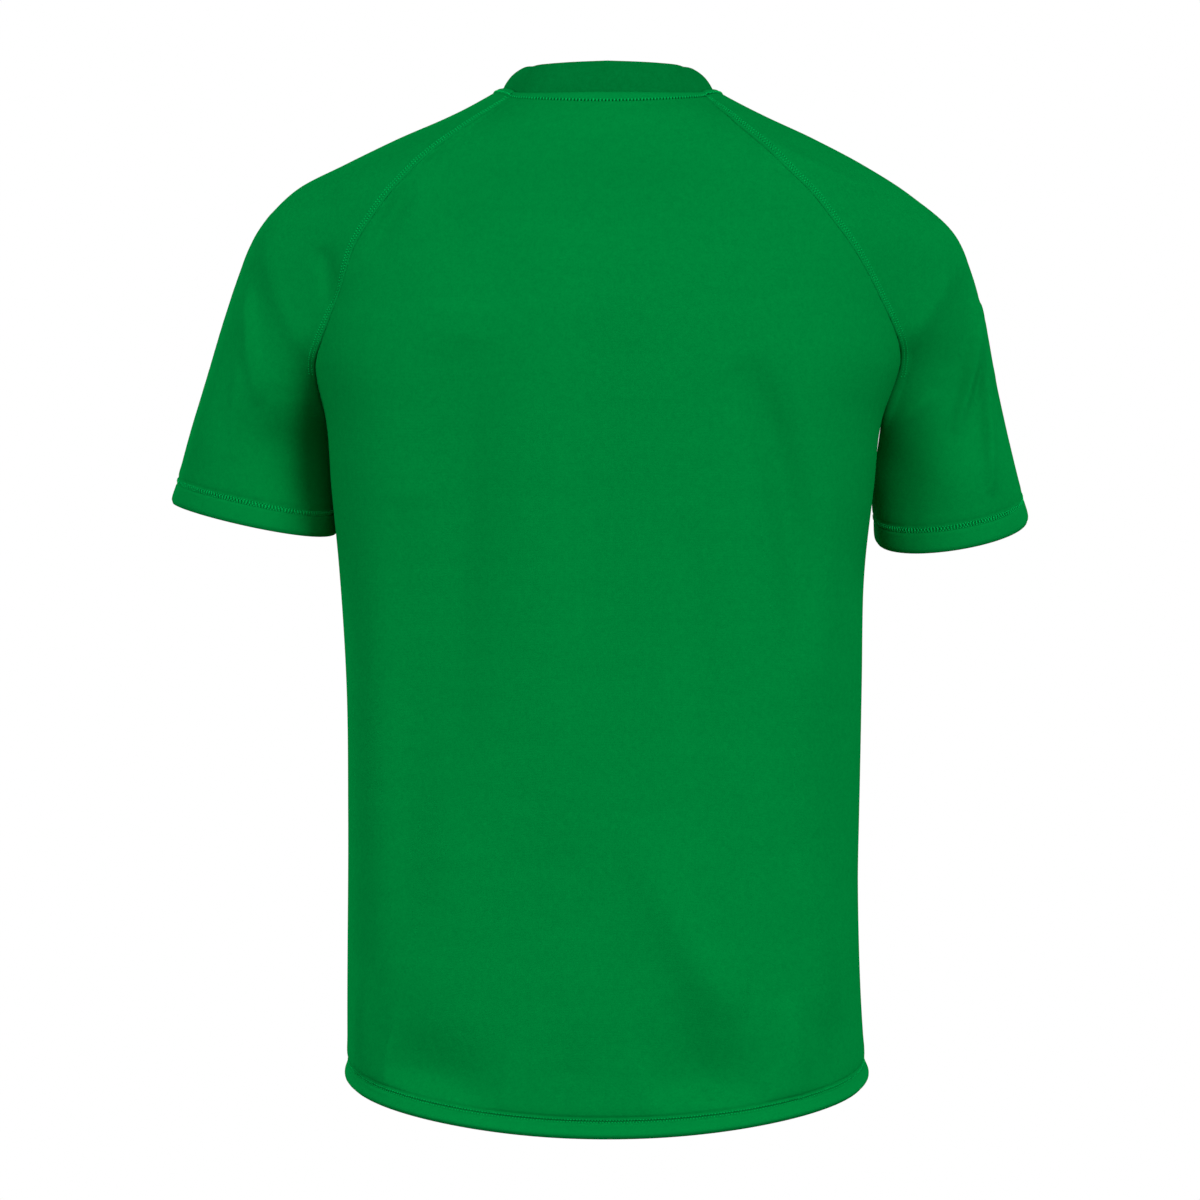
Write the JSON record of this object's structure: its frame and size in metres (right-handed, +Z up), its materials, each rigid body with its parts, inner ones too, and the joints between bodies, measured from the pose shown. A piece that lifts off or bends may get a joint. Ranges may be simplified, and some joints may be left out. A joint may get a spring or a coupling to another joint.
{
  "type": "rugby shirt",
  "caption": "Short-sleeved raglan rugby shirt filled out as worn, with a ribbed crew collar, open cuffs and a drop-tail hem.",
  "frame": {"origin": "middle of the neck opening, level with the highest points of the shoulder lines, where the wearer's shoulders and neck hold the shirt up", "axes": "+Z up, -Y the way the wearer faces, +X to the wearer's left"},
  "size_m": [0.63, 0.2583, 0.7553],
  "materials": {
    "jersey": "matt green knitted polyester jersey",
    "rib": "matt green ribbed knit"
  },
  "bodies": {
    "root": {"back_panel": "jersey", "front_panel": "jersey", "left_sleeve": "jersey", "right_sleeve": "jersey", "collar": "rib"}
  },
  "joints": []
}
